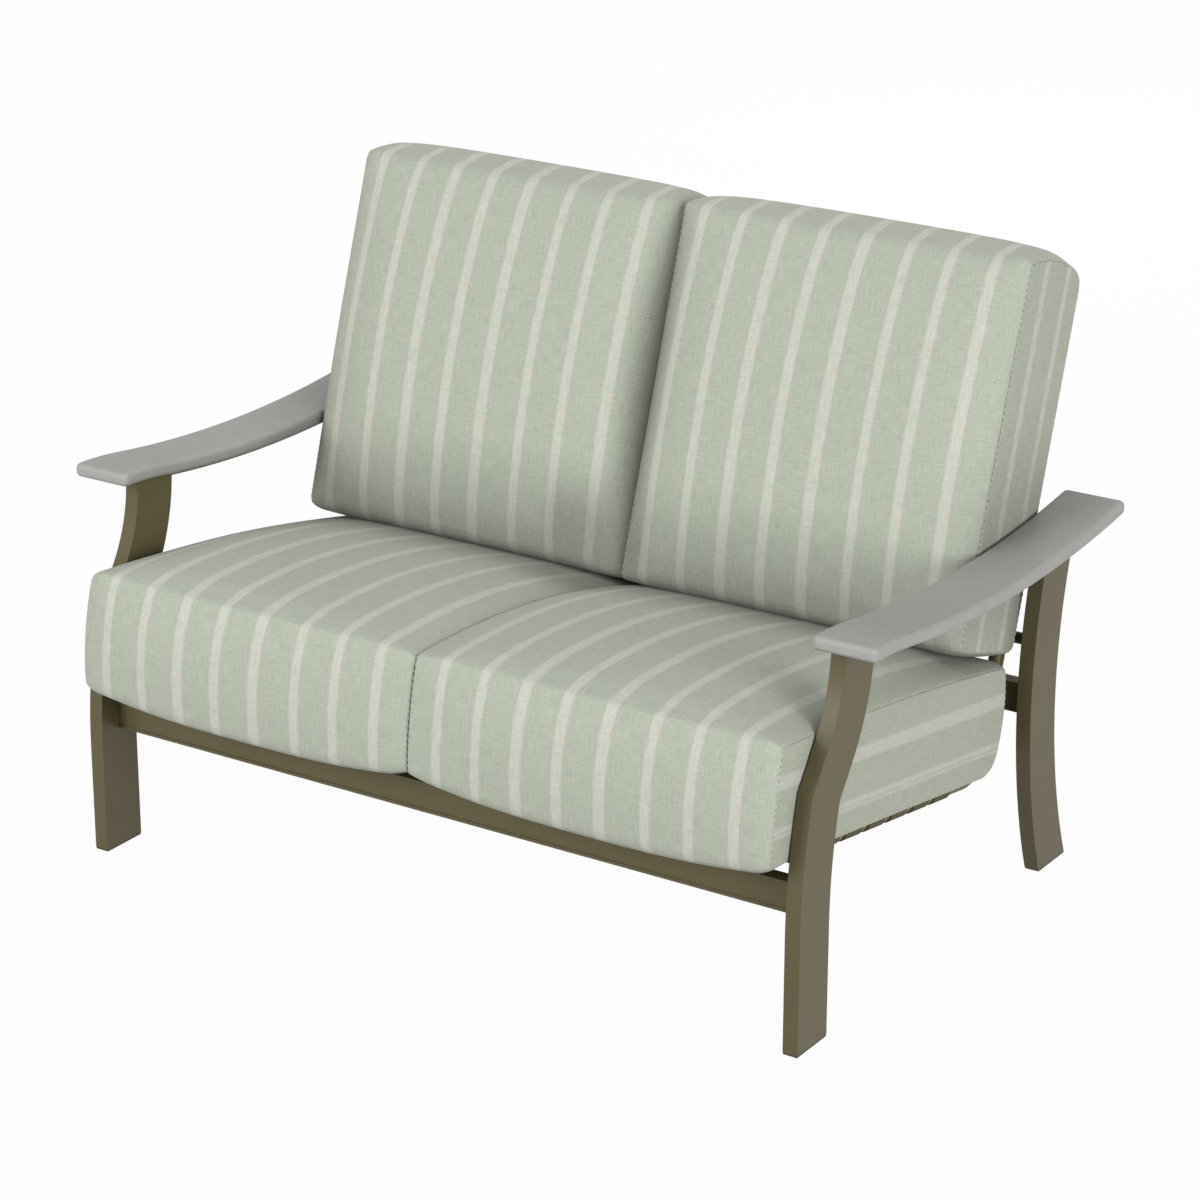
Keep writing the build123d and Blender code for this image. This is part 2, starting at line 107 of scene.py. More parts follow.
class SeatCushionSettings(bpy.types.PropertyGroup):
    """Sizes of the two seat cushions"""

    tilt: angle("Slope", "Fall of the seat to its back", -9.0)
    length: size("Depth", "From its front to its back, without the crown", 0.711)
    thick: size("Thickness", "Height of its side panels", 0.184)
    crown: size("Crown", "Rise of its top in the middle", 0.038)
    start_crown: size("Front crown", "Bulge of its front", 0.008)
    end_crown: size("Rear crown", "Bulge of its rear", 0.008)
    side_droop: size("Side droop", "Fall of its front edge at the sides", 0.014)
    middle_droop: size("Middle droop", "Fall of its front edge in the middle", 0.034)
    droop_run: size("Droop run", "Length over which the front edge falls", 0.112)
    radius_1: size("Lower front radius", "Rounding of its lower front edge", 0.024)
    radius_2: size("Upper front radius", "Rounding of its upper front edge", 0.017)
    radius_3: size("Upper rear radius", "Rounding of its upper rear edge", 0.030)
    radius_4: size("Lower rear radius", "Rounding of its lower rear edge", 0.045)
    fullness: number("Fullness", "How far its crown reaches out, as a power", 4.0)
    seam_crown: share("Seam crown", "Share of its crown that is left at its outer seam", 0.28)
    side_cloth: size("Side cloth", "Where the side panel's stripes start on the cloth", 0.0)
    outer_bulge: size("Outer bulge", "How far its outer side stands out of its seams", 0.0025)
    swell: size("Swell", "How far that side stands out past the solid's", 0.001)
    inner_crown: share("Inner crown", "Share of its crown that is left at its inner seam", 0.85)
    cloth_shift: size("Cloth shift", "How far its stripes are moved to the right", 0.001)
    inner_drop: size("Inner drop", "Roll-down of its top where two cushions press", 0.008)
    start_draw: share("Front draw", "Share of the roll-down that its front takes", 0.4)
    end_draw: share("Rear draw", "Share of the roll-down that its rear takes", 0.4)
    corner: size("Corner", "How far its outer corners are rounded off", 0.003)
    front_lift: size("Front lift", "Rise of its lower front corners", 0.006)
    lower_lift: size("Lower lift", "Rise of its lower outer edges", 0.002)
    lies: BoolProperty(name="Lying", description="Its side stripes are counted up", default=True)


class BackCushionSettings(bpy.types.PropertyGroup):
    """Sizes of the two back cushions"""

    tilt: angle("Recline", "Lean of the back from upright, as a slope", 72.1)
    length: size("Height", "From its bottom to its top, without the crown", 0.621)
    thick: size("Thickness", "Depth of its side panels", 0.192)
    crown: size("Crown", "Rise of its front in the middle", 0.030)
    start_crown: size("Bottom crown", "Bulge of its bottom", 0.003)
    end_crown: size("Top crown", "Bulge of its top", 0.016)
    side_droop: size("Side droop", "Fall of its lower rear edge at the sides", 0.0)
    middle_droop: size("Middle droop", "Fall of its lower rear edge in the middle", 0.0)
    droop_run: size("Droop run", "Length over which that edge falls", 0.300)
    radius_1: size("Lower rear radius", "Rounding of its lower rear edge", 0.026)
    radius_2: size("Lower front radius", "Rounding of its lower front edge", 0.028)
    radius_3: size("Upper front radius", "Rounding of its upper front edge", 0.030)
    radius_4: size("Upper rear radius", "Rounding of its upper rear edge", 0.030)
    fullness: number("Fullness", "How far its crown reaches out, as a power", 6.0)
    seam_crown: share("Seam crown", "Share of its crown that is left at its outer seam", 0.1)
    side_cloth: size("Side cloth", "Where the side panel's stripes start on the cloth", 0.300)
    outer_bulge: size("Outer bulge", "How far its outer side stands out of its seams", 0.001)
    swell: size("Swell", "How far that side stands out past the solid's", 0.0022)
    inner_crown: share("Inner crown", "Share of its crown that is left at its inner seam", 0.0)
    cloth_shift: size("Cloth shift", "How far its stripes are moved to the right", -0.008)
    inner_drop: size("Inner drop", "Roll-down of its front where two cushions press", 0.028)
    start_draw: share("Bottom draw", "Share of the roll-down that its bottom takes", 0.0)
    end_draw: share("Top draw", "Share of the roll-down that its top takes", 0.3)
    corner: size("Corner", "How far its outer corners are rounded off", 0.008)
    front_lift: size("Front lift", "Rise of its lower rear corners", 0.0)
    lower_lift: size("Rear draw", "How far its rear outer edges are drawn in", 0.0)
    lies: BoolProperty(name="Lying", description="Its side stripes are counted up", default=False)


class CushionMakingSettings(bpy.types.PropertyGroup):
    """How all four cushions are cut, filled and sewn"""

    panel: size("Quad size", "Size of the cloth's squares while it is filled", 0.010)
    proud: share("Proud", "Share of an inner roll-down that a pair's right cushion takes", 0.55)
    end_fullness: share("End fullness", "Share of the ends' crown that is left at the seams", 0.6)
    inner_roll: size("Inner roll", "Width over which a panel rolls down where two press", 0.050)
    outer_roll: size("Outer roll", "The same at an outer side seam", 0.026)
    outer_drop: size("Outer drop", "How far a panel rolls down at an outer side seam", 0.009)
    seam_run: size("Seam run", "Width over which the corners sharpen to a side seam", 0.070)
    seam_radius: size("Seam radius", "Rounding of the corners of a side seam", 0.012)
    inner_lift: size("Inner lift", "Most that the lower inner edges are drawn up", 0.006)
    corner_run: size("Corner run", "Width over which the outer corners are rounded off", 0.026)
    pressure: number("Pressure", "Push of the filling on the cover", 4.0)
    frames: IntProperty(name="Frames", description="Frames the filling takes", default=20, min=2)
    seam_hold: share("Seam hold", "How firmly the outer seams keep their place", 0.7)
    most_move: size("Most move", "How far the filling may move a point of the cover", 0.005)
    groove: size("Groove", "Depth of the seam's groove", 0.0018)
    groove_width: size("Groove width", "Half width of the seam's groove", 0.003)
    stitch_length: size("Stitch length", "Length of one stitch", 0.006)
    stitch_pitch: size("Stitch pitch", "Distance from a stitch to the next", 0.0105)
    stitch_width: size("Stitch width", "Thickness of the thread", 0.0012)


class FinishSettings(bpy.types.PropertyGroup):
    """Colours of the finishes"""

    frame_bronze: colour("Frame bronze", "Powder coat of the aluminium frame", "#625a3d")
    arm_grey: colour("Arm grey", "Polymer of the arm planks", "#afaeab")
    fabric_sage: colour("Fabric sage", "Ground of the cushion cloth", "#b8beae")
    fabric_stripe: colour("Fabric stripe", "Stripes of the cushion cloth", "#cfcfc4")
    thread: colour("Thread", "Seam thread", "#d6dac9")
    webbing: colour("Webbing", "Straps under and behind the cushions", "#5a523a")
    steel: colour("Steel", "Screws under the arms", "#b3b1ab")
    glide: colour("Glide", "Nylon glides and end caps", "#3f392b")


class StageSettings(bpy.types.PropertyGroup):
    """The floor, the lamps and the camera"""

    camera_azimuth: angle("Camera azimuth", "Turn of the camera round the object", 33.226)
    camera_elevation: angle("Camera elevation", "Height of the camera as an angle", 21.004)
    camera_roll: angle("Camera roll", "Turn of the picture", 0.069)
    camera_x: size("Camera X", "Place of the camera to the right", 3.11825)
    camera_y: size("Camera Y", "Place of the camera to the back", -4.69715)
    camera_z: size("Camera Z", "Height of the camera", 2.60173)
    camera_lens: number("Lens", "Focal length of the camera", 114.39, "CAMERA")
    floor_width: size("Floor width", "Width of the square floor", 60.0)
    floor_white: share("Floor white", "Share of plain white that the camera sees", 0.92)
    key_power: number("Key power", "Power of the front lamp", 190.0, "POWER")
    fill_power: number("Fill power", "Power of the side lamp", 166.0, "POWER")
    rear_power: number("Rear power", "Power of the rear lamp", 120.0, "POWER")
    top_power: number("Top power", "Power of the lamp above", 18.0, "POWER")
    room_light: number("Room light", "Strength of the even light", 0.41)


# Nodes and materials

# The Mix node's sockets for colours, by number, because its other sockets have the same names
COLOUR_A, COLOUR_B, COLOUR_OUT = 6, 7, 2


def add_node(tree, kind, inputs=None, **settings):
    """Adds a node with its settings, and gives its inputs, by name or number, a value or a link."""
    made = tree.nodes.new(kind)
    for key, value in settings.items():
        setattr(made, key, value)
    for key, value in (inputs or {}).items():
        socket = made.inputs[key]
        if isinstance(value, bpy.types.NodeSocket):
            tree.links.new(value, socket)
        else:
            socket.default_value = value
    return made


def new_material(name):
    """A material with only its output, and its node tree."""
    material = bpy.data.materials.new(name)
    material.use_nodes = True
    material.node_tree.nodes.clear()
    return material, material.node_tree


def surface(tree, inputs):
    """The material's surface, joined to its output."""
    shader = add_node(tree, "ShaderNodeBsdfPrincipled", inputs)
    add_node(tree, "ShaderNodeOutputMaterial", {0: shader.outputs[0]})


def tint(rgb, factor=1.0):
    """A colour made darker or lighter, with its alpha."""
    return (*(min(1.0, c * factor) for c in rgb), 1.0)


def mottled(tree, factor, rgb, darkest, lightest):
    """A colour that drifts between two shares of itself."""
    mix = add_node(
        tree,
        "ShaderNodeMix",
        {"Factor": factor, COLOUR_A: tint(rgb, darkest), COLOUR_B: tint(rgb, lightest)},
        data_type="RGBA",
    )
    return mix.outputs[COLOUR_OUT]


def with_painted_shade(tree, base, depth, reach=0.2, most=0.45):
    """A colour with painted shade: it darkens where pieces lie close."""
    # Painted shade: how close other pieces are sets how far the colour is mixed toward black
    near = add_node(tree, "ShaderNodeAmbientOcclusion", {"Distance": reach}, samples=4)
    close = add_node(tree, "ShaderNodeMath", {0: 1.0, 1: near.outputs["AO"]}, operation="SUBTRACT")
    dark = add_node(tree, "ShaderNodeMath", {0: close.outputs[0], 1: depth}, operation="MULTIPLY")
    kept = add_node(tree, "ShaderNodeMath", {0: dark.outputs[0], 1: most}, operation="MINIMUM")
    shade = add_node(
        tree,
        "ShaderNodeMix",
        {"Factor": kept.outputs[0], COLOUR_A: base, COLOUR_B: (0, 0, 0, 1)},
        data_type="RGBA",
    )
    return shade.outputs[COLOUR_OUT]


def object_noise(tree, grain, stretch=(1, 1, 1), detail=3.0):
    """Noise on object coordinates whose grain is a real size in metres."""
    place = add_node(tree, "ShaderNodeTexCoord")
    scaled = add_node(
        tree, "ShaderNodeMapping", {"Vector": place.outputs["Object"], "Scale": stretch}
    )
    noise = add_node(
        tree,
        "ShaderNodeTexNoise",
        {"Vector": scaled.outputs[0], "Scale": 1 / grain, "Detail": detail, "Roughness": 0.5},
    )
    return noise.outputs["Fac"]


def powder_coat(finish):
    """Polyester powder coat on aluminium, sprayed and baked: satin, with a fine orange peel."""
    material, tree = new_material("polyester_powder_coat")
    cloud = object_noise(tree, 60 * MM)
    peel = object_noise(tree, 1.6 * MM, detail=1.0)
    base = mottled(tree, cloud, finish.frame_bronze, 0.94, 1.06)
    edge = add_node(tree, "ShaderNodeBevel", {"Radius": 1.2 * MM}, samples=4)
    bump = add_node(
        tree,
        "ShaderNodeBump",
        {"Strength": 0.06, "Distance": 0.2 * MM, "Height": peel, "Normal": edge.outputs[0]},
    )
    surface(
        tree,
        {
            # Painted shade: the bronze darkens slightly where pieces lie close
            "Base Color": with_painted_shade(tree, base, depth=0.08),
            "Roughness": 0.42,
            "Specular IOR Level": 0.35,
            "Normal": bump.outputs[0],
        },
    )
    return material


def moulded_polymer(finish):
    """Moulded polyethylene plank, brushed faintly along its length: matt, with a soft shine."""
    material, tree = new_material("moulded_polyethylene")
    grain = object_noise(tree, 2.2 * MM, stretch=(1, 0.05, 1), detail=2.0)
    cloud = object_noise(tree, 25 * MM)
    both = add_node(tree, "ShaderNodeMath", {0: grain, 1: cloud}, operation="ADD")
    half = add_node(tree, "ShaderNodeMath", {0: both.outputs[0], 1: 0.5}, operation="MULTIPLY")
    base = mottled(tree, half.outputs[0], finish.arm_grey, 0.82, 1.18)
    bump = add_node(
        tree, "ShaderNodeBump", {"Strength": 0.12, "Distance": 0.3 * MM, "Height": grain}
    )
    surface(
        tree,
        {
            # Painted shade: the plank darkens where it lies close to the cushions and the frame
            "Base Color": with_painted_shade(tree, base, depth=0.9),
            "Roughness": 0.55,
            "Specular IOR Level": 0.3,
            "Normal": bump.outputs[0],
        },
    )
    return material


def plain_finish(name, rgb, roughness, metallic=0.0):
    """Plain metal, nylon or thread of the small pieces: one colour that only drifts a little."""
    material, tree = new_material(name)
    cloud = object_noise(tree, 8 * MM)
    base = mottled(tree, cloud, rgb, 0.9, 1.1)
    bump = add_node(
        tree, "ShaderNodeBump", {"Strength": 0.1, "Distance": 0.2 * MM, "Height": cloud}
    ).outputs[0]
    surface(
        tree,
        {"Base Color": base, "Roughness": roughness, "Metallic": metallic, "Normal": bump},
    )
    return material


def woven_webbing(finish):
    """Woven polypropylene webbing: dark, dull, ribbed across at the pitch of its weft."""
    material, tree = new_material("polypropylene_webbing")
    place = add_node(tree, "ShaderNodeTexCoord")
    rib_pitch = 2.5 * MM
    # A wave texture repeats every 0.314 metres at a scale of 1
    ribs = add_node(
        tree,
        "ShaderNodeTexWave",
        {"Vector": place.outputs["Object"], "Scale": 0.314 / rib_pitch},
        bands_direction="X",
    ).outputs["Fac"]
    base = mottled(tree, ribs, finish.webbing, 0.75, 1.2)
    bump = add_node(
        tree, "ShaderNodeBump", {"Strength": 0.5, "Distance": 0.4 * MM, "Height": ribs}
    )
    surface(tree, {"Base Color": base, "Roughness": 0.85, "Normal": bump.outputs[0]})
    return material


# Middle and width of each stripe in mm: across a cushion from its left side, and across its side
# panels, where the seat's are counted from its bottom and the back's from 300 before its front
STRIPES = ((54, 16), (126, 16), (199, 19), (272, 17.5))
STRIPES += ((347, 19.5), (426, 16), (499, 16.5), (574, 17))
SIDE_STRIPES = ((41.5, 4.5), (50.5, 9), (123, 22), (365, 17), (442, 15))
# Half of the width in mm over which a stripe's edge fades
STRIPE_BLUR = 1.2
# Width of the cloth that one ramp covers
CLOTH_WIDTH = 0.65
# The side panels' cloth starts this far to the right on the map
SIDE_CLOTH = 1.0
# Real yarns are 0.5 mm thick. They are drawn as slubs, coarse enough to show
SLUB_WIDTH = 1.8 * MM
SLUB_LENGTH = 26 * MM
# Depth of the painted shade on the cloth, as two places and the depths there. It is slight on the
# seats' open front and grows to the back cushions, and it is deepest on the left cushion's margin,
# which lies lower than the right cushion that presses on it
SHADE_TO_REAR = (-0.15, 0.1, 0.2, 1.0)
SHADE_FROM_MARGIN = (0.0, 0.11, 3.5, 1.0)
# How far that margin is to the left of the middle
MARGIN_PLACE = 0.045


def stripe_ramp(tree, across, start, stripes):
    """A ramp that is white on the stripes and black between them."""
    shares = add_node(
        tree,
        "ShaderNodeMapRange",
        {"Value": across, "From Min": start, "From Max": start + CLOTH_WIDTH},
    )
    bands = add_node(tree, "ShaderNodeValToRGB", {0: shares.outputs[0]})
    stops = [
        ((middle + side * (width / 2 + blur)) * MM / CLOTH_WIDTH, level)
        for middle, width in stripes
        for side, blur, level in (
            (-1, STRIPE_BLUR, 0),
            (-1, -STRIPE_BLUR, 1),
            (1, -STRIPE_BLUR, 1),
            (1, STRIPE_BLUR, 0),
        )
    ]
    ramp = bands.color_ramp
    while len(ramp.elements) > 1:
        ramp.elements.remove(ramp.elements[-1])
    ramp.elements[0].position = stops[0][0]
    ramp.elements[0].color = (0, 0, 0, 1)
    for position, level in stops[1:]:
        ramp.elements.new(position).color = (level, level, level, 1)
    return bands.outputs[0]


def striped_fabric(finish):
    """Woven acrylic canvas, yarn-dyed in stripes: dull, a faint sheen, slubs along both yarns."""
    material, tree = new_material("woven_acrylic_canvas")
    cloth = add_node(tree, "ShaderNodeUVMap", uv_map="cloth").outputs[0]
    across = add_node(tree, "ShaderNodeSeparateXYZ", {0: cloth}).outputs[0]
    bands = add_node(
        tree,
        "ShaderNodeMath",
        {
            0: stripe_ramp(tree, across, 0, STRIPES),
            1: stripe_ramp(tree, across, SIDE_CLOTH, SIDE_STRIPES),
        },
        operation="ADD",
    )

    slubs = []
    for width, length in ((SLUB_WIDTH, SLUB_LENGTH), (SLUB_LENGTH, SLUB_WIDTH)):
        lay = add_node(
            tree, "ShaderNodeMapping", {0: cloth, "Scale": (1 / width, 1 / length, 1)}
        )
        yarn = add_node(
            tree,
            "ShaderNodeTexNoise",
            {"Vector": lay.outputs[0], "Scale": 1.0, "Detail": 2.0, "Roughness": 0.6},
        )
        slubs.append(yarn.outputs["Fac"])
    both = add_node(tree, "ShaderNodeMath", {0: slubs[0], 1: slubs[1]}, operation="ADD")
    weave = add_node(
        tree,
        "ShaderNodeMapRange",
        {"Value": both.outputs[0], "From Min": 0.7, "From Max": 1.3, "To Min": 0, "To Max": 1},
    ).outputs[0]
    ground = mottled(tree, weave, finish.fabric_sage, 0.86, 1.14)
    stripe = mottled(tree, weave, finish.fabric_stripe, 0.86, 1.12)
    bump = add_node(
        tree,
        "ShaderNodeBump",
        {"Strength": 0.25, "Distance": 0.4 * MM, "Height": both.outputs[0]},
    )
    dyed = add_node(
        tree,
        "ShaderNodeMix",
        {"Factor": bands.outputs[0], COLOUR_A: ground, COLOUR_B: stripe},
        data_type="RGBA",
    )
    surface(
        tree,
        {
            # Painted shade: the cloth darkens in the creases between the cushions, most toward the
            # back ones
            "Base Color": with_painted_shade(tree, dyed.outputs[COLOUR_OUT], painted_shade_depth(tree)),
            "Roughness": 0.9,
            "Sheen Weight": 0.08,
            "Sheen Roughness": 0.5,
            "Normal": bump.outputs[0],
        },
    )
    return material


def painted_shade_depth(tree):
    """How deep the painted shade on the cloth is, by its place on the object."""
    place = add_node(tree, "ShaderNodeTexCoord")
    parts = add_node(tree, "ShaderNodeSeparateXYZ", {0: place.outputs["Object"]}).outputs
    shifted = add_node(tree, "ShaderNodeMath", {0: parts[0], 1: MARGIN_PLACE}, operation="ADD")
    off_margin = add_node(tree, "ShaderNodeMath", {0: shifted.outputs[0]}, operation="ABSOLUTE")
    to_rear, to_margin = (
        add_node(
            tree,
            "ShaderNodeMapRange",
            {"Value": value, "From Min": a, "From Max": b, "To Min": low, "To Max": high},
        ).outputs[0]
        for value, (a, b, low, high) in (
            (parts[1], SHADE_TO_REAR),
            (off_margin.outputs[0], SHADE_FROM_MARGIN),
        )
    )
    depth = add_node(tree, "ShaderNodeMath", {0: to_rear, 1: to_margin}, operation="MULTIPLY")
    return depth.outputs[0]


# Cushions

# Length of a Bezier curve's handle that makes a quarter circle, as a share of its radius
QUARTER_HANDLE = 0.5523
# How far the fall of a front edge reaches out to the sides, as a power
DROOP_FULLNESS = 2.8
# Columns beside a seam lie closer, as shares of a square
SEAM_COLUMNS = (0, 0.4, 1.0, 1.8, 2.8)
# Points of a cover below this rest on the straps
RESTING = 2 * MM
# Shares of the filling's push that a cover takes: across, along and up
PUSH_SHARES = (0.4, 1, 1)
# A groove goes in aslant: its share of depth along each of two axes
ASLANT = 0.7
# The least distance that anything is divided by
LEAST = 1e-9


def bow(start, end, height, count=28):
    """Points of a shallow arc that stands out to the left of the way from start to end."""
    t = np.linspace(0, 1, count)[:, None]
    start, end = np.array(start), np.array(end)
    run = end - start
    left = np.array([-run[1], run[0]]) / np.hypot(*run)
    return start + run * t + left * height * 4 * t * (1 - t)


def corner_round(start, corner, end, count=16):
    """Points of a quarter round between two points beside a corner."""
    start, corner, end = (np.array(p) for p in (start, corner, end))
    t = np.linspace(0, 1, count)[:, None]
    near = start + (corner - start) * QUARTER_HANDLE
    far = end + (corner - end) * QUARTER_HANDLE
    return (
        start * (1 - t) ** 3
        + near * 3 * t * (1 - t) ** 2
        + far * 3 * t**2 * (1 - t)
        + end * t**3
    )


def even_points(line, count):
    """Points at even distances along a line, both of its ends included."""
    steps = np.hypot(*np.diff(line, axis=0).T)
    along = np.concatenate([[0], np.cumsum(steps)])
    wanted = np.linspace(0, along[-1], count + 1)
    return np.stack([np.interp(wanted, along, line[:, i]) for i in (0, 1)], 1)


# How a cushion is at a place across it: its shares of the crown, of the ends' crown and of the
# droop, how far it is drawn in, how near it is to a seam, where its bottom is, how far its corners
# are rounded off and how far its lower front corner rises
Place = namedtuple("Place", "crown ends droop draw seam low corner rise")


def side_outline(sizes, making, at, long_count, short_count):
    """A cushion's outline seen from its side: bottom, start, top and end, as even points."""
    low = at.low
    start = at.draw * sizes.start_draw + at.corner
    end, high = sizes.length - at.draw * sizes.end_draw - at.corner, sizes.thick - at.draw
    drop = sizes.side_droop + (sizes.middle_droop - sizes.side_droop) * at.droop - at.rise
    radii = (sizes.radius_1, sizes.radius_2, sizes.radius_3)
    r1, r2, r3 = (r + (making.seam_radius - r) * at.seam for r in radii)
    r4 = sizes.radius_4
    bottom = np.array([(end - r4, low), (sizes.droop_run, low), (start + r1, low - drop)])
    foot = low - drop
    lower_start = corner_round((start + r1, foot), (start, foot), (start, foot + r1))
    face = bow((start, foot + r1), (start, high - r2), sizes.start_crown * at.ends)
    upper_start = corner_round((start, high - r2), (start, high), (start + r2, high))
    top = bow((start + r2, high), (end - r3, high), sizes.crown * at.crown)
    upper_end = corner_round((end - r3, high), (end, high), (end, high - r3))
    rear = bow((end, high - r3), (end, low + r4), sizes.end_crown * at.ends)
    lower_end = corner_round((end, low + r4), (end, low), (end - r4, low))
    half = len(lower_end) // 2
    sides = (
        (np.concatenate([lower_end[half:], bottom[1:], lower_start[1 : half + 1]]), long_count),
        (np.concatenate([lower_start[half:], face[1:], upper_start[1 : half + 1]]), short_count),
        (np.concatenate([upper_start[half:], top[1:], upper_end[1 : half + 1]]), long_count),
        (np.concatenate([upper_end[half:], rear[1:], lower_end[1 : half + 1]]), short_count),
    )
    return np.concatenate([even_points(line, count)[:-1] for line, count in sides])


def rim_index(n, m, j, k):
    """Place in a cushion's outline of a rim point of its side panel of n by m squares."""
    if k == 0:
        return n - j
    if j == 0:
        return n + k
    if k == m:
        return n + m + j
    return (2 * n + m + (m - k)) % (2 * (n + m))


def lay_rim(end, outline):
    """Puts a side panel's rim on the cushion's outline."""
    n, m = end.shape[0] - 1, end.shape[1] - 1
    for j in range(n + 1):
        for k in range(m + 1):
            if j in (0, n) or k in (0, m):
                end[j, k] = outline[rim_index(n, m, j, k)]


class Cushion:
    """The grids of one cushion: its wrapped panel, and a flat panel on each side."""

    def __init__(self, node, sizes, making):
        self.node, self.sizes, self.making = node, sizes, making
        across = Vector((1, 0, 0))
        along = Vector((0, cos(sizes.tilt), sin(sizes.tilt)))
        up = across.cross(along)
        self.axes = np.array([across, along, up])
        points = np.array([v.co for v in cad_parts[node].data.vertices])
        low = [float((points @ axis).min()) for axis in self.axes]
        high = [float((points @ axis).max()) for axis in self.axes]
        self.left, self.right = low[0], high[0]
        self.inner = 0 if self.left > 0 else 1
        self.inner_drop = sizes.inner_drop * (1 if self.inner else making.proud)
        self.bulges = [sizes.outer_bulge, sizes.outer_bulge]
        self.bulges[self.inner] = 0
        if self.inner:
            self.left -= sizes.swell
        else:
            self.right += sizes.swell
        base = along * (low[1] + sizes.start_crown)
        base += up * (high[2] - sizes.thick - sizes.crown)
        self.base = np.array(base)
        self.long_count = round(sizes.length / making.panel)
        self.short_count = round(sizes.thick / making.panel)
        self.make_grids()

    def place_at(self, x):
        """How the cushion is at a place across it."""
        sizes, making = self.sizes, self.making
        first, last = self.left + self.bulges[0], self.right - self.bulges[1]
        side = 0 if x - first < last - x else 1
        near = min(x - first, last - x)
        off = min(1.0, abs(2 * x - first - last) / (last - first))
        crown = 1 - off**sizes.fullness
        ends = making.end_fullness + (1 - making.end_fullness) * crown
        droop = 1 - off**DROOP_FULLNESS
        seam = max(0.0, 1 - near / making.seam_run) ** 2
        if side == self.inner:
            crown += (1 - crown) * sizes.inner_crown
            draw = self.inner_drop * max(0.0, 1 - near / making.inner_roll) ** 2
            return Place(crown, ends, droop, draw, seam, min(draw, making.inner_lift), 0, 0)
        crown += (1 - crown) * sizes.seam_crown
        draw = making.outer_drop * max(0.0, 1 - near / making.outer_roll) ** 2
        round_off = max(0.0, 1 - near / making.corner_run) ** 2
        low, corner, rise = (
            length * round_off for length in (sizes.lower_lift, sizes.corner, sizes.front_lift)
        )
        return Place(crown, ends, droop, draw, seam, low, corner, rise)

    def make_grids(self):
        """The wrapped panel, column by column from the left seam to the right, and its ends."""
        first, last = self.left + self.bulges[0], self.right - self.bulges[1]
        margin = self.making.panel * np.array(SEAM_COLUMNS)
        middle = round((last - first - 2 * margin[-1]) / self.making.panel)
        between = np.linspace(first + margin[-1], last - margin[-1], middle + 1)
        xs = np.concatenate([first + margin[:-1], between, last - margin[-2::-1]])
        counts = (self.long_count, self.short_count)
        lines = [side_outline(self.sizes, self.making, self.place_at(x), *counts) for x in xs]
        self.panel = np.array(
            [np.column_stack([np.full(len(line), x), line]) for x, line in zip(xs, lines)]
        )
        for side, way, seam in ((0, -1, first), (1, 1, last)):
            near = np.abs(self.panel[:, :, 0] - seam)
            height = np.clip(self.panel[:, :, 2] / self.sizes.thick, 0, 1)
            nearness = np.maximum(0, 1 - near / self.making.corner_run) ** 2
            bulge = (1 - (2 * height - 1) ** 2) * nearness
            self.panel[:, :, 0] += way * self.bulges[side] * bulge
        self.ends = [self.end_grid(self.panel[0], 0), self.end_grid(self.panel[-1], 1)]

    def end_grid(self, rim, side):
        """A side panel's points between its rim's points, bulging outwards beside its seams."""
        n, m = self.long_count, self.short_count
        grid = np.zeros((n + 1, m + 1, 3))
        lay_rim(grid, rim)
        s = np.linspace(0, 1, n + 1)[:, None, None]
        t = np.linspace(0, 1, m + 1)[None, :, None]
        coons = (
            grid[:, :1] * (1 - t)
            + grid[:, -1:] * t
            + grid[:1] * (1 - s)
            + grid[-1:] * s
            - grid[:1, :1] * (1 - s) * (1 - t)
            - grid[-1:, :1] * s * (1 - t)
            - grid[:1, -1:] * (1 - s) * t
            - grid[-1:, -1:] * s * t
        )
        bulge = (1 - (2 * s - 1) ** 6) * ((2 * t - 1) ** 2 - (2 * t - 1) ** 4)
        coons[1:-1, 1:-1, 0] += (-1, 1)[side] * self.bulges[side] * bulge[1:-1, 1:-1, 0]
        return coons

    def free_grids(self):
        """The panel, and the side panels without their rims, in the order of the mesh's points."""
        return [self.panel] + [end[1:-1, 1:-1] for end in self.ends]

    def place(self, points):
        """Points of the cushion's own frame as points of the object's frame."""
        return self.base + points @ self.axes

    def unplace(self, points):
        """Points of the object's frame as points of the cushion's own frame."""
        return (points - self.base) @ self.axes.T


def cloth_maps(cushion):
    """Where each point of the panels lies on the cloth: across its stripes and along them."""
    sizes = cushion.sizes
    closed = np.concatenate([cushion.panel, cushion.panel[:, :1]], 1)
    steps = np.linalg.norm(np.diff(closed[len(closed) // 2], axis=0), axis=1)
    along = np.concatenate([[0], np.cumsum(steps)])
    wrapped = np.zeros(closed.shape[:2] + (2,))
    wrapped[:, :, 0] = closed[:, :, 0] - cushion.left - sizes.cloth_shift
    wrapped[:, :, 1] = along[None, :]
    sides = []
    for grid in cushion.ends:
        flat = np.zeros(grid.shape[:2] + (2,))
        behind = grid[:, :, 2] if sizes.lies else sizes.thick - grid[:, :, 2]
        flat[:, :, 0] = SIDE_CLOTH + sizes.side_cloth + behind
        flat[:, :, 1] = grid[:, :, 1]
        sides.append(flat)
    return wrapped, sides


def with_seam_rows(values, beside, axis):
    """A grid with a row added beside its first row and beside its last one."""
    values = np.moveaxis(values, axis, 0)
    first = values[:1] * (1 - beside) + values[1:2] * beside
    last = values[-1:] * (1 - beside) + values[-2:-1] * beside
    grown = np.concatenate([values[:1], first, values[1:-1], last, values[-1:]])
    return np.moveaxis(grown, 0, axis)


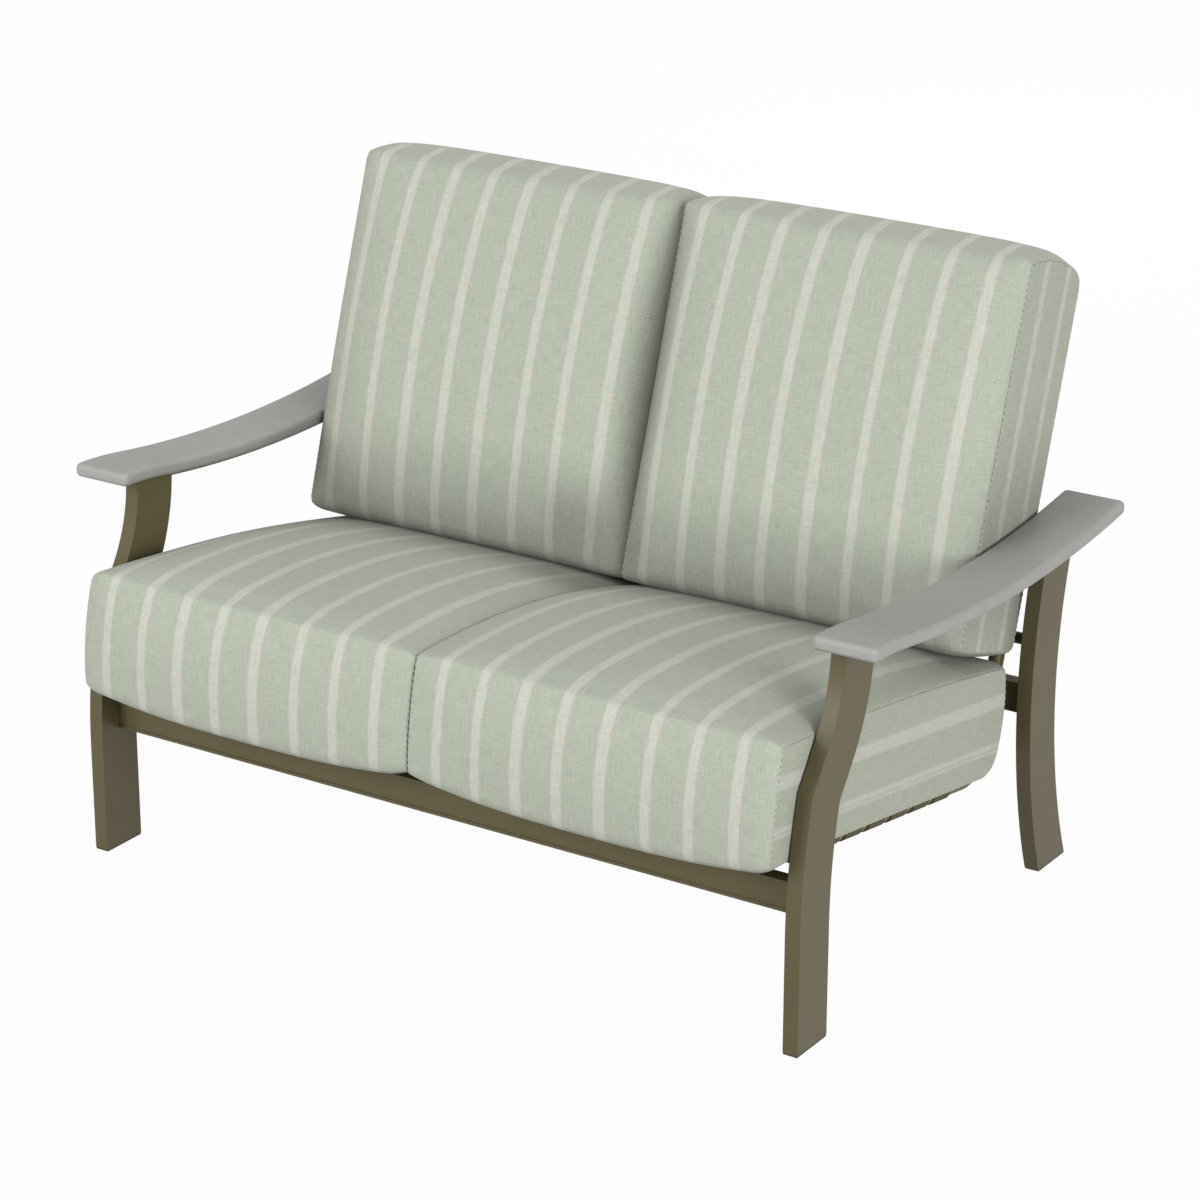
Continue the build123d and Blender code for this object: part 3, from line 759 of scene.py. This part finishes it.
def mesh_of(name, panel, ends, wrapped=None, sides=None):
    """A closed mesh of a wrapped panel and two side panels, with the cloth's map on its faces."""
    columns, girth = panel.shape[:2]
    n, m = ends[0].shape[0] - 1, ends[0].shape[1] - 1
    inner = (n - 1) * (m - 1)
    points = [panel.reshape(-1, 3)] + [end[1:-1, 1:-1].reshape(-1, 3) for end in ends]
    faces, corners = [], []

    def end_vertex(side, j, k):
        """Number of a side panel's point, which is the panel's own on the rim."""
        if j in (0, n) or k in (0, m):
            column = 0 if side == 0 else columns - 1
            return column * girth + rim_index(n, m, j, k)
        return columns * girth + side * inner + (j - 1) * (m - 1) + (k - 1)

    for i in range(columns - 1):
        for p in range(girth):
            q = (p + 1) % girth
            faces.append((i * girth + p, i * girth + q, (i + 1) * girth + q, (i + 1) * girth + p))
            if wrapped is not None:
                corners += [wrapped[i, p], wrapped[i, p + 1]]
                corners += [wrapped[i + 1, p + 1], wrapped[i + 1, p]]
    for side in (0, 1):
        for j in range(n):
            for k in range(m):
                ring = [(j, k), (j, k + 1), (j + 1, k + 1), (j + 1, k)]
                if side == 1:
                    ring = ring[::-1]
                faces.append(tuple(end_vertex(side, *at) for at in ring))
                if sides is not None:
                    corners += [sides[side][at] for at in ring]
    mesh = bpy.data.meshes.new(name)
    mesh.from_pydata(np.concatenate(points).tolist(), [], faces)
    if corners:
        layer = mesh.uv_layers.new(name="cloth")
        layer.data.foreach_set("uv", np.array(corners, dtype=np.float32).ravel())
    if signed_volume(mesh) < 0:
        mesh.flip_normals()
    return mesh


def signed_volume(mesh):
    """A closed mesh's volume, which is below zero where its faces point inwards."""
    mesh.calc_loop_triangles()
    points = np.array([v.co for v in mesh.vertices])
    tri = np.array([t.vertices for t in mesh.loop_triangles])
    a, b, c = points[tri[:, 0]], points[tri[:, 1]], points[tri[:, 2]]
    return float(np.einsum("ij,ij->i", a, np.cross(b, c)).sum() / 6)


def filling_body(cushion, making):
    """A cover that is ready to be filled, held where it rests, is pressed or is sewn."""
    mesh = mesh_of(
        "filling", cushion.place(cushion.panel), [cushion.place(e) for e in cushion.ends]
    )
    body = new_object("filling_" + cushion.node, mesh)
    heights = np.concatenate([grid[..., 2].ravel() for grid in cushion.free_grids()])
    level = [int(i) for i in np.flatnonzero(heights < RESTING)]
    columns, girth = cushion.panel.shape[:2]
    seam_points = [list(range(girth)), list(range((columns - 1) * girth, columns * girth))]
    count = (cushion.long_count - 1) * (cushion.short_count - 1)
    first = columns * girth + cushion.inner * count
    pressed = seam_points[cushion.inner] + list(range(first, first + count))
    held = body.vertex_groups.new(name="held")
    held.add(seam_points[1 - cushion.inner], making.seam_hold, "REPLACE")
    held.add(level + pressed, 1.0, "REPLACE")
    cloth = body.modifiers.new("Fill", "CLOTH")
    settings = cloth.settings
    settings.quality = 5
    settings.mass = 0.3
    settings.tension_stiffness = 25
    settings.compression_stiffness = 25
    settings.shear_stiffness = 10
    settings.bending_stiffness = 0.6
    settings.use_pressure = True
    settings.uniform_pressure_force = making.pressure
    settings.effector_weights.gravity = 0
    settings.vertex_group_mass = held.name
    cloth.collision_settings.use_collision = False
    cloth.point_cache.frame_start = 1
    cloth.point_cache.frame_end = making.frames
    return body


def fill_with_cloth(cushions, making):
    """Swells the covers with a cloth simulation, and takes the moved points back to their grids."""
    scene = bpy.context.scene
    bodies = [filling_body(cushion, making) for cushion in cushions]
    for moment in range(1, making.frames + 1):
        scene.frame_set(moment)
    graph = bpy.context.evaluated_depsgraph_get()
    for cushion, body in zip(cushions, bodies):
        result = body.evaluated_get(graph).to_mesh()
        points = np.zeros(len(result.vertices) * 3)
        result.vertices.foreach_get("co", points)
        body.evaluated_get(graph).to_mesh_clear()
        take_points(cushion, cushion.unplace(points.reshape(-1, 3)), making)
        mesh = body.data
        bpy.data.objects.remove(body)
        bpy.data.meshes.remove(mesh)
    scene.frame_set(1)


def evened(move, around, rounds=12):
    """The moves evened out between neighbours, so that no stray fold is left."""
    for _ in range(rounds):
        wide = np.pad(move, ((1, 1), (0, 0), (0, 0)), "edge")
        move = (wide[:-2] + 2 * move + wide[2:]) / 4
        wide = np.pad(move, ((0, 0), (1, 1), (0, 0)), around)
        move = (wide[:, :-2] + 2 * move + wide[:, 2:]) / 4
    return move


def take_points(cushion, points, making):
    """Keeps the filled cover's points, no further from the cut form than the most they may move."""
    grids = cushion.free_grids()
    stops = np.cumsum([grid[..., 0].size for grid in grids])[:-1]
    for cut, filled in zip(grids, np.split(points, stops)):
        around = "wrap" if cut is cushion.panel else "edge"
        move = evened(filled.reshape(cut.shape) - cut, around)
        far = np.linalg.norm(move, axis=-1, keepdims=True)
        move *= making.most_move * np.tanh(far / making.most_move) / np.maximum(far, LEAST)
        cut += move * np.array(PUSH_SHARES)
        cut[..., 0] = np.clip(cut[..., 0], cushion.left, cushion.right)
    for end, column in zip(cushion.ends, (0, -1)):
        lay_rim(end, cushion.panel[column])


def sew(cushion, maps, making, fabric):
    """The finished cover: rows beside the seams, a groove along them, and one subdivision."""
    beside = making.groove_width / making.panel
    wrapped, sides = maps
    n, m = cushion.long_count, cushion.short_count
    breaks = [0, n, n + m, 2 * n + m, 2 * (n + m)]

    def thicken(values):
        """Rows beside the four corners of the outline and beside both seams."""
        runs = [
            with_seam_rows(values[:, a : b + 1], beside, 1) for a, b in zip(breaks, breaks[1:])
        ]
        joined = np.concatenate([run[:, :-1] for run in runs[:-1]] + [runs[-1]], 1)
        return with_seam_rows(joined, beside / SEAM_COLUMNS[1], 0)

    panel = thicken(np.concatenate([cushion.panel, cushion.panel[:, :1]], 1))[:, :-1]
    wrapped = thicken(wrapped)
    ends, sides = (
        [with_seam_rows(with_seam_rows(grid, beside, 0), beside, 1) for grid in grids]
        for grids in (cushion.ends, sides)
    )

    middle = panel.mean(axis=(0, 1))
    for end, column, inward in ((ends[0], 0, 1), (ends[1], -1, -1)):
        rim = panel[column]
        pull = middle[1:] - rim[:, 1:]
        pull /= np.linalg.norm(pull, axis=1, keepdims=True)
        rim[:, 1:] += pull * making.groove * ASLANT
        rim[:, 0] += inward * making.groove * ASLANT
        lay_rim(end, rim)

    name = cushion.node.replace("_cushion_", "_cushion_cover_")
    mesh = mesh_of(
        name, cushion.place(panel), [cushion.place(end) for end in ends], wrapped, sides
    )
    mesh.polygons.foreach_set("use_smooth", [True] * len(mesh.polygons))
    mesh.materials.append(fabric)
    cover = new_object(name, mesh)
    rounded = cover.modifiers.new("Rounded", "SUBSURF")
    rounded.levels = rounded.render_levels = 1
    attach(cover, cushion.node)
    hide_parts(cushion.node)
    return [cushion.place(panel[column]) for column in (0, -1)]


# Stitches


def stitch_tree():
    """Geometry nodes that lay short stitches along the edges of a mesh."""
    tree = bpy.data.node_groups.new("Seam stitches", "GeometryNodeTree")
    sockets = (
        ("Geometry", "INPUT", "NodeSocketGeometry"),
        ("Pitch", "INPUT", "NodeSocketFloat"),
        ("Length", "INPUT", "NodeSocketFloat"),
        ("Thickness", "INPUT", "NodeSocketFloat"),
        ("Thread", "INPUT", "NodeSocketMaterial"),
        ("Geometry", "OUTPUT", "NodeSocketGeometry"),
    )
    for name, way, kind in sockets:
        tree.interface.new_socket(name, in_out=way, socket_type=kind)
    given = add_node(tree, "NodeGroupInput").outputs
    line = add_node(tree, "GeometryNodeMeshToCurve", {0: given["Geometry"]})
    points = add_node(
        tree,
        "GeometryNodeCurveToPoints",
        {0: line.outputs[0], "Length": given["Pitch"]},
        mode="LENGTH",
    )
    bead = add_node(tree, "GeometryNodeMeshUVSphere", {"Segments": 6, "Rings": 4, "Radius": 0.5})
    shape = add_node(
        tree,
        "ShaderNodeCombineXYZ",
        {0: given["Length"], 1: given["Thickness"], 2: given["Thickness"]},
    )
    stitch = add_node(
        tree, "GeometryNodeTransform", {"Geometry": bead.outputs[0], "Scale": shape.outputs[0]}
    )
    turn = add_node(
        tree, "FunctionNodeAlignRotationToVector", {"Vector": points.outputs["Tangent"]}, axis="X"
    )
    laid = add_node(
        tree,
        "GeometryNodeInstanceOnPoints",
        {
            "Points": points.outputs["Points"],
            "Instance": stitch.outputs[0],
            "Rotation": turn.outputs[0],
        },
    )
    real = add_node(tree, "GeometryNodeRealizeInstances", {0: laid.outputs[0]})
    thread = add_node(
        tree,
        "GeometryNodeSetMaterial",
        {"Geometry": real.outputs[0], "Material": given["Thread"]},
    )
    add_node(tree, "NodeGroupOutput", {0: thread.outputs[0]})
    return tree


def lay_stitches(name, lines, tree, thread, making, body):
    """One body's stitches, along closed lines, as a plain mesh."""
    points, edges = [], []
    for line in lines:
        first, count = len(points), len(line)
        points += line.tolist()
        edges += [(first + i, first + (i + 1) % count) for i in range(count)]
    path = bpy.data.meshes.new(name + "_path")
    path.from_pydata(points, edges, [])
    guide = new_object(name + "_path", path)
    modifier = guide.modifiers.new("Stitches", "NODES")
    modifier.node_group = tree
    values = {
        "Pitch": making.stitch_pitch,
        "Length": making.stitch_length,
        "Thickness": making.stitch_width,
        "Thread": thread,
    }
    for item in tree.interface.items_tree:
        if item.in_out == "INPUT" and item.name in values:
            modifier[item.identifier] = values[item.name]
    graph = bpy.context.evaluated_depsgraph_get()
    mesh = bpy.data.meshes.new_from_object(guide.evaluated_get(graph))
    bpy.data.objects.remove(guide)
    bpy.data.meshes.remove(path)
    mesh.polygons.foreach_set("use_smooth", [True] * len(mesh.polygons))
    stitches = new_object(name, mesh)
    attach(stitches, body)


# Stage

# Grey of the floor as the object meets it, and the light of the white that the camera meets
FLOOR_GREY = "#9c9c9a"
FLOOR_GLOW = 1.05
# Each lamp's name, place and width, and the setting that is its power
LAMPS = (
    ("key_lamp", (-2.0, -5.6, 2.6), 3.0, "key_power"),
    ("fill_lamp", (5.6, -2.0, 1.7), 3.0, "fill_power"),
    ("rear_lamp", (-1.6, 5.2, 3.0), 3.0, "rear_power"),
    ("top_lamp", (0.0, 0.5, 5.0), 4.0, "top_power"),
)
# Where the lamps point
LIT_PLACE = (0, 0, 0.5)
# Width of the camera's sensor in mm, and how far it sees in metres
SENSOR_WIDTH = 36
SIGHT = 200


def lay_floor(stage):
    """The floor, a square that is far wider than the picture."""
    half = stage.floor_width / 2
    mesh = bpy.data.meshes.new("floor")
    mesh.from_pydata(
        [(-half, -half, 0), (half, -half, 0), (half, half, 0), (-half, half, 0)],
        [],
        [(0, 1, 2, 3)],
    )
    mesh.materials.append(floor_material(stage))
    floor = new_object("floor", mesh)


def floor_material(stage):
    """Matt white studio floor: the camera sees it almost plain white, with a faint shadow."""
    material, tree = new_material("painted_studio_floor")
    matt = add_node(tree, "ShaderNodeBsdfDiffuse", {"Color": tint(linear(FLOOR_GREY))})
    white = add_node(
        tree, "ShaderNodeEmission", {"Color": (1, 1, 1, 1), "Strength": FLOOR_GLOW}
    )
    rays = add_node(tree, "ShaderNodeLightPath")
    seen = add_node(
        tree,
        "ShaderNodeMath",
        {0: rays.outputs["Is Camera Ray"], 1: rays.outputs["Is Glossy Ray"]},
        operation="MAXIMUM",
    )
    glow = add_node(
        tree, "ShaderNodeMath", {0: seen.outputs[0], 1: stage.floor_white}, operation="MULTIPLY"
    )
    both = add_node(
        tree, "ShaderNodeMixShader", {0: glow.outputs[0], 1: matt.outputs[0], 2: white.outputs[0]}
    )
    add_node(tree, "ShaderNodeOutputMaterial", {0: both.outputs[0]})
    return material


def room_light(scene, stage):
    """Even light from all round, and a white room where the camera or a shiny surface looks out."""
    world = bpy.data.worlds.new("room")
    world.use_nodes = True
    tree = world.node_tree
    tree.nodes.clear()
    even = add_node(tree, "ShaderNodeBackground", {0: (1, 1, 1, 1), 1: stage.room_light})
    white = add_node(tree, "ShaderNodeBackground", {0: (1, 1, 1, 1), 1: 1.0})
    rays = add_node(tree, "ShaderNodeLightPath")
    both = add_node(
        tree,
        "ShaderNodeMixShader",
        {0: rays.outputs["Is Camera Ray"], 1: even.outputs[0], 2: white.outputs[0]},
    )
    add_node(tree, "ShaderNodeOutputWorld", {0: both.outputs[0]})
    scene.world = world


def hang_lamps(stage):
    """The lamps, which all point at the object."""
    for name, place, width, power in LAMPS:
        lamp = bpy.data.lights.new(name, "AREA")
        lamp.shape = "DISK"
        lamp.size = width
        lamp.energy = getattr(stage, power)
        hung = new_object(name, lamp)
        hung.location = place
        aim = Vector(LIT_PLACE) - Vector(place)
        hung.rotation_euler = aim.to_track_quat("-Z", "Y").to_euler()
        # The rear lamp would leave a streak on the arms
        hung.visible_glossy = name != "rear_lamp"


def set_camera(scene, stage):
    """The camera, whose place, turn and lens were solved from the photo."""
    a, e = stage.camera_azimuth, stage.camera_elevation
    right = Vector((cos(a), sin(a), 0))
    back = Vector((sin(a) * cos(e), -cos(a) * cos(e), sin(e)))
    turn = Matrix((right, back.cross(right), back)).transposed().to_4x4()
    camera = bpy.data.cameras.new("camera")
    camera.lens = stage.camera_lens
    camera.sensor_width = SENSOR_WIDTH
    camera.clip_end = SIGHT
    eye = new_object("camera", camera)
    eye.matrix_world = (
        Matrix.Translation((stage.camera_x, stage.camera_y, stage.camera_z))
        @ turn
        @ Matrix.Rotation(stage.camera_roll, 4, "Z")
    )
    scene.camera = eye
    scene.view_settings.view_transform = "Standard"


# Operators

# The cushions that are cut so far, and the two seam lines of each one that is sewn up
cushions = []
seams = {}


def cut_cushions(kind, sizes, making):
    """Cuts the left and the right cushion of a kind."""
    for side in ("left", "right"):
        cushions.append(Cushion(kind + "_cushion_" + side, sizes, making))


class LOVESEAT_OT_frame(bpy.types.Operator):
    """Gives the frame, arms, straps, screws, glides and caps their finishes"""

    bl_idname = "loveseat.frame"
    bl_label = "Finish the frame"

    def execute(self, context):
        finish = context.scene.loveseat_finish
        coat = powder_coat(finish)
        plank = moulded_polymer(finish)
        webbing = woven_webbing(finish)
        steel = plain_finish("stainless_steel", finish.steel, roughness=0.35, metallic=1.0)
        nylon = plain_finish("moulded_nylon", finish.glide, roughness=0.6)
        finishes = {
            "seat_strap": webbing,
            "back_strap": webbing,
            "arm_screws": steel,
            "glide": nylon,
            "tube_end": nylon,
            "arm_left": plank,
            "arm_right": plank,
        }
        for name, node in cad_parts.items():
            if "cushion" in name:
                continue
            kinds = [kind for start, kind in finishes.items() if name.startswith(start)]
            node.data.materials.clear()
            node.data.materials.append(kinds[0] if kinds else coat)
        return {"FINISHED"}


class LOVESEAT_OT_seat_cushions(bpy.types.Operator):
    """Cuts the covers of the two seat cushions"""

    bl_idname = "loveseat.seat_cushions"
    bl_label = "Cut the seat cushions"

    def execute(self, context):
        cut_cushions("seat", context.scene.loveseat_seat, context.scene.loveseat_making)
        return {"FINISHED"}


class LOVESEAT_OT_back_cushions(bpy.types.Operator):
    """Cuts the covers of the two back cushions"""

    bl_idname = "loveseat.back_cushions"
    bl_label = "Cut the back cushions"

    def execute(self, context):
        cut_cushions("back", context.scene.loveseat_back, context.scene.loveseat_making)
        return {"FINISHED"}


class LOVESEAT_OT_fill(bpy.types.Operator):
    """Fills the cushions' covers and sews them up"""

    bl_idname = "loveseat.fill"
    bl_label = "Fill and sew the cushions"

    def execute(self, context):
        scene = context.scene
        making = scene.loveseat_making
        fabric = striped_fabric(scene.loveseat_finish)
        maps = [cloth_maps(cushion) for cushion in cushions]
        fill_with_cloth(cushions, making)
        for cushion, cloth in zip(cushions, maps):
            seams[cushion.node] = sew(cushion, cloth, making, fabric)
        return {"FINISHED"}


class LOVESEAT_OT_stitches(bpy.types.Operator):
    """Lays the stitches along the cushions' side seams"""

    bl_idname = "loveseat.stitches"
    bl_label = "Stitch the cushions"

    def execute(self, context):
        scene = context.scene
        thread = plain_finish("polyester_thread", scene.loveseat_finish.thread, roughness=0.7)
        tree = stitch_tree()
        for node, lines in seams.items():
            name = node.replace("_cushion_", "_cushion_stitches_")
            lay_stitches(name, lines, tree, thread, scene.loveseat_making, node)
        return {"FINISHED"}


class LOVESEAT_OT_stage(bpy.types.Operator):
    """Makes the floor, the lamps, the even room light and the camera"""

    bl_idname = "loveseat.stage"
    bl_label = "Set the stage"

    def execute(self, context):
        scene, stage = context.scene, context.scene.loveseat_stage
        lay_floor(stage)
        room_light(scene, stage)
        hang_lamps(stage)
        set_camera(scene, stage)
        return {"FINISHED"}


class LOVESEAT_PT_panel(bpy.types.Panel):
    """Lists the steps that dress the loveseat, and their settings"""

    bl_label = "Patio loveseat"
    bl_idname = "LOVESEAT_PT_panel"
    bl_space_type = "VIEW_3D"
    bl_region_type = "UI"
    bl_category = "Loveseat"

    def draw(self, context):
        for step in STEPS:
            self.layout.operator(step.bl_idname)
        for name in SETTINGS:
            box = self.layout.box()
            group = getattr(context.scene, name)
            for field in group.bl_rna.properties.keys():
                if field not in {"rna_type", "name"}:
                    box.prop(group, field)


STEPS = (
    LOVESEAT_OT_frame,
    LOVESEAT_OT_seat_cushions,
    LOVESEAT_OT_back_cushions,
    LOVESEAT_OT_fill,
    LOVESEAT_OT_stitches,
    LOVESEAT_OT_stage,
)
SETTINGS = {
    "loveseat_seat": SeatCushionSettings,
    "loveseat_back": BackCushionSettings,
    "loveseat_making": CushionMakingSettings,
    "loveseat_finish": FinishSettings,
    "loveseat_stage": StageSettings,
}


def register():
    for group in SETTINGS.values():
        bpy.utils.register_class(group)
    for name, group in SETTINGS.items():
        setattr(bpy.types.Scene, name, PointerProperty(type=group))
    for step in STEPS:
        bpy.utils.register_class(step)
    bpy.utils.register_class(LOVESEAT_PT_panel)


def unregister():
    bpy.utils.unregister_class(LOVESEAT_PT_panel)
    for step in reversed(STEPS):
        bpy.utils.unregister_class(step)
    for name, group in SETTINGS.items():
        delattr(bpy.types.Scene, name)
        bpy.utils.unregister_class(group)


def main():
    register()
    bpy.ops.loveseat.frame()
    bpy.ops.loveseat.seat_cushions()
    bpy.ops.loveseat.back_cushions()
    bpy.ops.loveseat.fill()
    bpy.ops.loveseat.stitches()
    bpy.ops.loveseat.stage()


if __name__ == "__main__":
    main()
